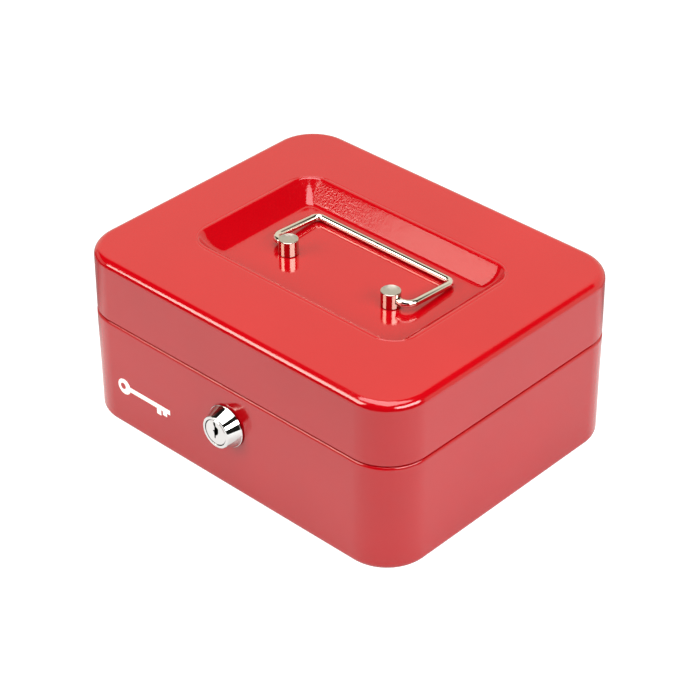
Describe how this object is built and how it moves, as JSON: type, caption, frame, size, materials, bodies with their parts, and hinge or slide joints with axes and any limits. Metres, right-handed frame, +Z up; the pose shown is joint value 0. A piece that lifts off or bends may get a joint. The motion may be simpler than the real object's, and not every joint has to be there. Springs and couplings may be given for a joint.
{
  "type": "cash box",
  "caption": "Lockable sheet-steel cash box with a hinged lid, a folding wire handle in a sunken well, a front cam lock and a lift-out coin tray.",
  "frame": {"origin": "middle of the flat underside, on the surface that the box stands on", "axes": "+X to the right seen from the front, +Y from the front to the hinges, +Z up"},
  "size_m": [0.2, 0.1724, 0.09],
  "materials": {
    "red_paint": "glossy textured powder coat",
    "chrome": "polished",
    "nickel": "satin nickel plate",
    "zinc_steel": "zinc plated",
    "brass": "stamped",
    "black_plastic": "fine matt grain"
  },
  "bodies": {
    "box": {"body_shell": "red_paint", "hinge_left_body_leaf": "red_paint", "hinge_right_body_leaf": "red_paint", "hinge_left_pin": "zinc_steel", "hinge_right_pin": "zinc_steel", "lock_housing": "chrome", "lock_washer": "zinc_steel", "lock_nut": "zinc_steel"},
    "lid": {"lid_shell": "red_paint", "hinge_left_lid_leaf": "red_paint", "hinge_right_lid_leaf": "red_paint", "lid_strike": "zinc_steel", "handle_post_left": "nickel", "handle_post_right": "nickel", "post_washer_left": "zinc_steel", "post_washer_right": "zinc_steel", "post_nut_left": "zinc_steel", "post_nut_right": "zinc_steel"},
    "handle": {"carry_handle": "chrome"},
    "lock_core": {"lock_plug": "chrome", "lock_cam": "zinc_steel", "cam_screw": "zinc_steel", "wafer_spring_1": "zinc_steel", "wafer_spring_2": "zinc_steel", "wafer_spring_3": "zinc_steel", "wafer_spring_4": "zinc_steel", "wafer_spring_5": "zinc_steel"},
    "tray": {"coin_tray": "black_plastic"},
    "wafer_body_1": {"wafer_1": "brass"},
    "wafer_body_2": {"wafer_2": "brass"},
    "wafer_body_3": {"wafer_3": "brass"},
    "wafer_body_4": {"wafer_4": "brass"},
    "wafer_body_5": {"wafer_5": "brass"}
  },
  "joints": [
    {"name": "lid_hinge", "type": "hinge", "parent": "box", "child": "lid", "pos_m": [0, 0.0803, 0.0578], "axis": [-1, 0, 0], "range_deg": [0, 100]},
    {"name": "handle_pivot", "type": "hinge", "parent": "lid", "child": "handle", "pos_m": [0, -0.0059, 0.0847], "axis": [1, 0, 0], "range_deg": [0, 170]},
    {"name": "lock_turn", "type": "hinge", "parent": "box", "child": "lock_core", "pos_m": [0, -0.08, 0.0365], "axis": [0, -1, 0], "range_deg": [0, 90]},
    {"name": "tray_lift", "type": "slide", "parent": "box", "child": "tray", "axis": [0, 0, 1], "range_m": [0, 0.0075]},
    {"name": "wafer_slide_1", "type": "slide", "parent": "lock_core", "child": "wafer_body_1", "axis": [0, 0, 1], "range_m": [0, 0.0006], "deforming": ["wafer_spring_1"]},
    {"name": "wafer_slide_2", "type": "slide", "parent": "lock_core", "child": "wafer_body_2", "axis": [0, 0, 1], "range_m": [0, 0.0006], "deforming": ["wafer_spring_2"]},
    {"name": "wafer_slide_3", "type": "slide", "parent": "lock_core", "child": "wafer_body_3", "axis": [0, 0, 1], "range_m": [0, 0.0006], "deforming": ["wafer_spring_3"]},
    {"name": "wafer_slide_4", "type": "slide", "parent": "lock_core", "child": "wafer_body_4", "axis": [0, 0, 1], "range_m": [0, 0.0006], "deforming": ["wafer_spring_4"]},
    {"name": "wafer_slide_5", "type": "slide", "parent": "lock_core", "child": "wafer_body_5", "axis": [0, 0, 1], "range_m": [0, 0.0006], "deforming": ["wafer_spring_5"]}
  ],
  "couplings": [
    {"joint": "wafer_slide_2", "follows": "wafer_slide_1", "ratio": 1},
    {"joint": "wafer_slide_3", "follows": "wafer_slide_1", "ratio": 1},
    {"joint": "wafer_slide_4", "follows": "wafer_slide_1", "ratio": 1},
    {"joint": "wafer_slide_5", "follows": "wafer_slide_1", "ratio": 1}
  ]
}
